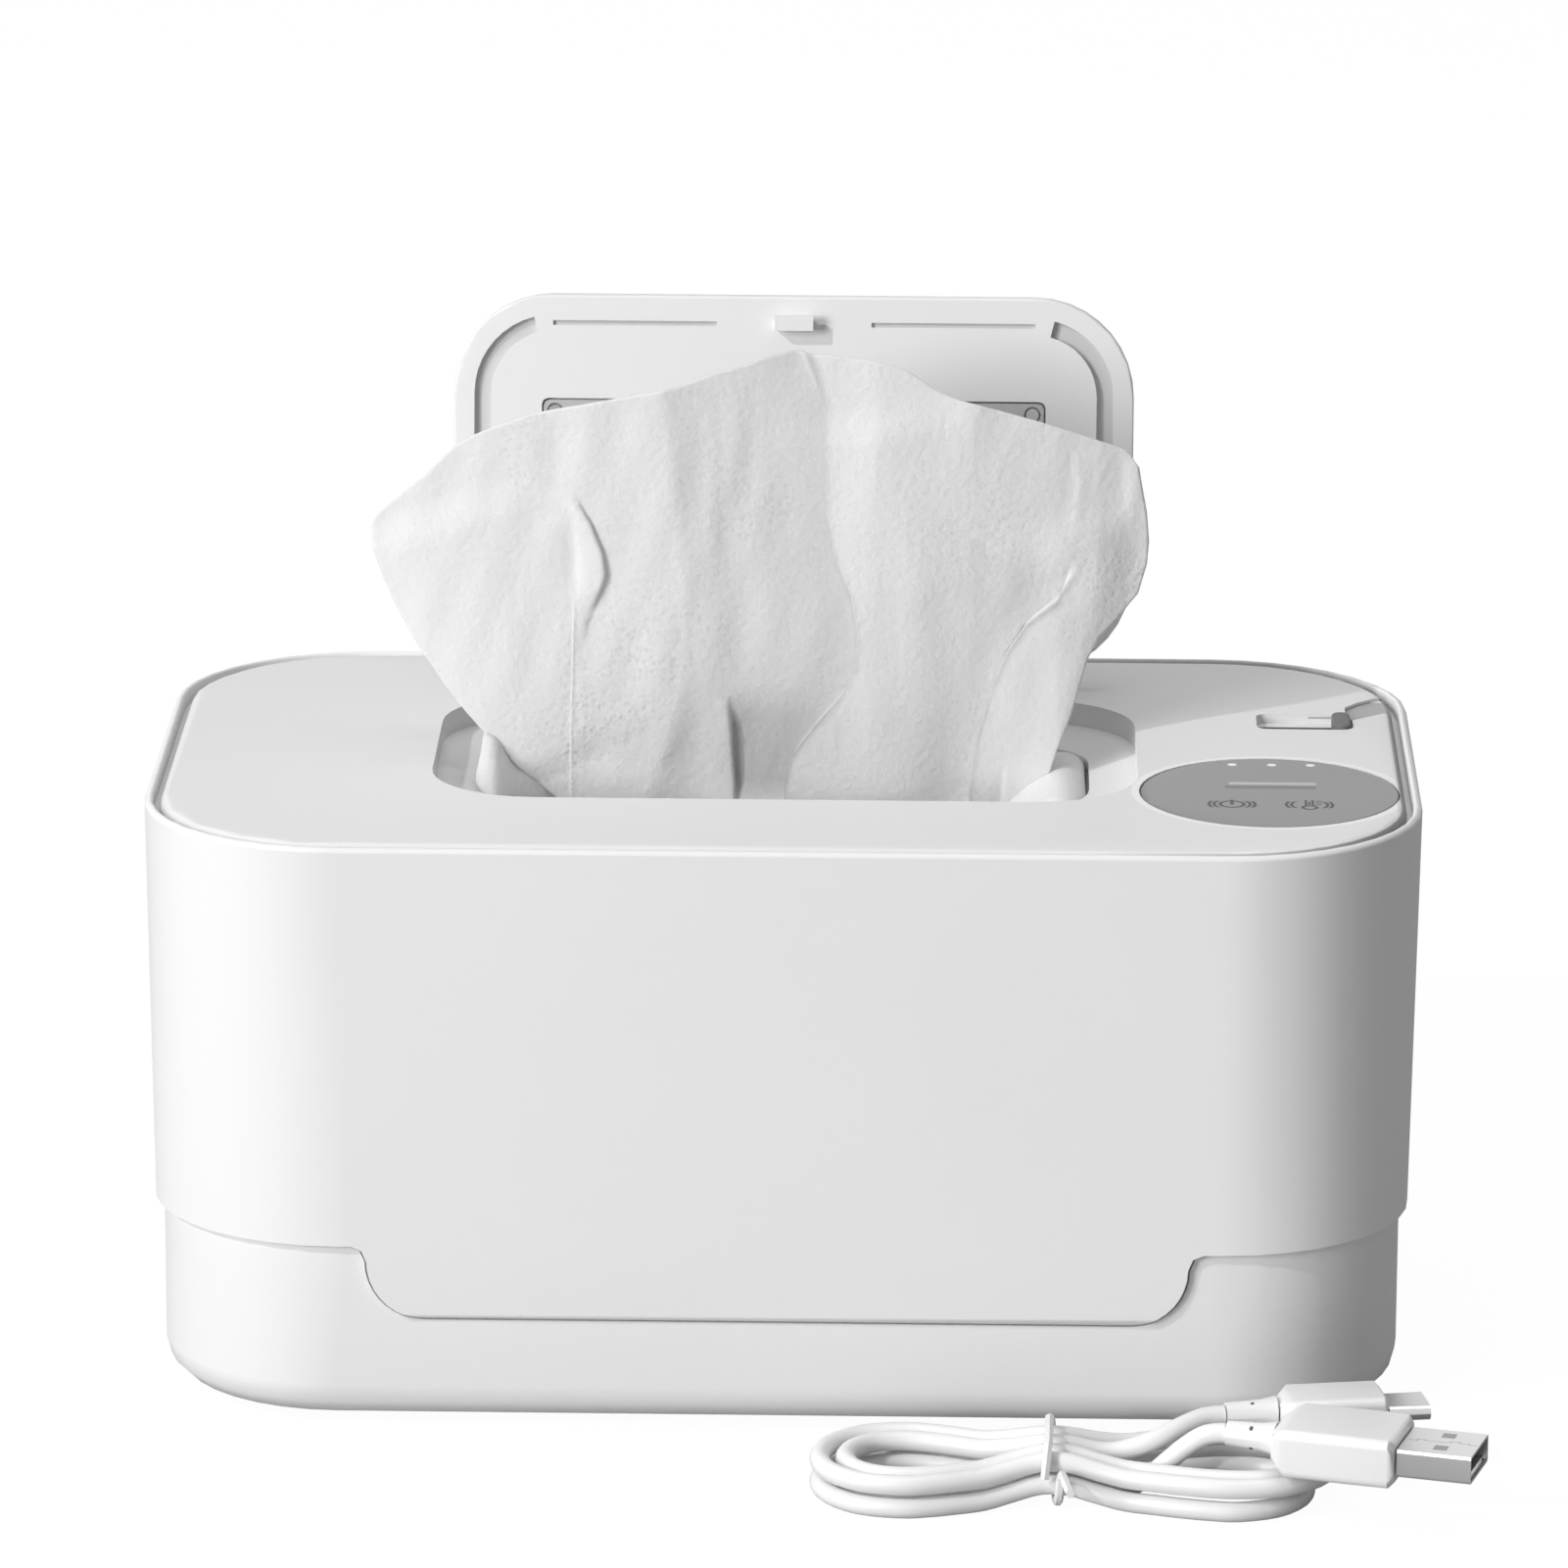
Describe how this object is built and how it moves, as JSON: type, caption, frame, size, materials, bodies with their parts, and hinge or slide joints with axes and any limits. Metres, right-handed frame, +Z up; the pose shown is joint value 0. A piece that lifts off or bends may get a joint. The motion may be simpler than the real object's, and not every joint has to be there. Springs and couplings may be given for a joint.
{
  "type": "baby wipe warmer",
  "caption": "Boxy electric warmer for baby wipes: a heated lift-off housing with a flip lid, touch display and slide switch on a base tray, with its USB cable.",
  "frame": {"origin": "middle of the feet's undersides, on the surface that the warmer stands on", "axes": "+X along the long side towards the display, -Y towards the front, +Z up"},
  "size_m": [0.2142, 0.1696, 0.1638],
  "materials": {
    "white_plastic": "satin white ABS",
    "inner_plastic": "matt white ABS",
    "rubber": "matt grey rubber",
    "smoked_window": "clear smoked acrylic",
    "silicone": "matt white silicone",
    "steel": "nickel-plated steel",
    "aluminium": "mill finish",
    "circuit_board": "green solder mask",
    "foam": "closed-cell foam",
    "wipe_cloth": "moist non-woven cloth",
    "cable_jacket": "soft white PVC"
  },
  "bodies": {
    "base": {"base_tray": "white_plastic", "foot_front_left": "rubber", "foot_front_right": "rubber", "foot_rear_left": "rubber", "foot_rear_right": "rubber", "wipe_stack": "wipe_cloth", "usb_cable": "cable_jacket", "cable_tie": "silicone", "usb_a_relief": "cable_jacket", "usb_a_overmould": "cable_jacket", "usb_a_metal": "steel", "usb_c_relief": "cable_jacket", "usb_c_overmould": "cable_jacket", "usb_c_metal": "steel"},
    "housing": {"outer_shell": "white_plastic", "top_deck": "white_plastic", "display_window": "smoked_window", "light_guide": "inner_plastic", "touch_spring_power": "steel", "touch_spring_heat": "steel", "control_board": "circuit_board", "usb_socket": "steel", "slide_switch": "steel", "inner_liner": "inner_plastic", "chute_seal": "silicone", "heater_plate": "aluminium", "insulation_pad": "foam", "temperature_sensor": "steel", "heater_lead": "rubber", "housing_screw_front_left": "steel", "housing_screw_front_right": "steel", "housing_screw_rear_left": "steel", "housing_screw_rear_right": "steel", "hinge_pin_left": "steel", "hinge_pin_right": "steel", "pulled_wipe": "wipe_cloth"},
    "lid": {"lid_shell": "white_plastic", "lid_inner_plate": "silicone", "lid_screw_1": "steel", "lid_screw_2": "steel", "lid_screw_3": "steel", "lid_screw_4": "steel"},
    "slider": {"slide_knob": "rubber"}
  },
  "joints": [
    {"name": "housing_lift", "type": "slide", "parent": "base", "child": "housing", "axis": [0, 0, 1], "range_m": [0, 0.08]},
    {"name": "lid_hinge", "type": "hinge", "parent": "housing", "child": "lid", "pos_m": [0, 0.039, 0.0944], "axis": [1, 0, 0], "range_deg": [0, 98], "deforming": ["pulled_wipe"]},
    {"name": "power_slide", "type": "slide", "parent": "housing", "child": "slider", "axis": [1, 0, 0], "range_m": [-0.01, 0]}
  ]
}
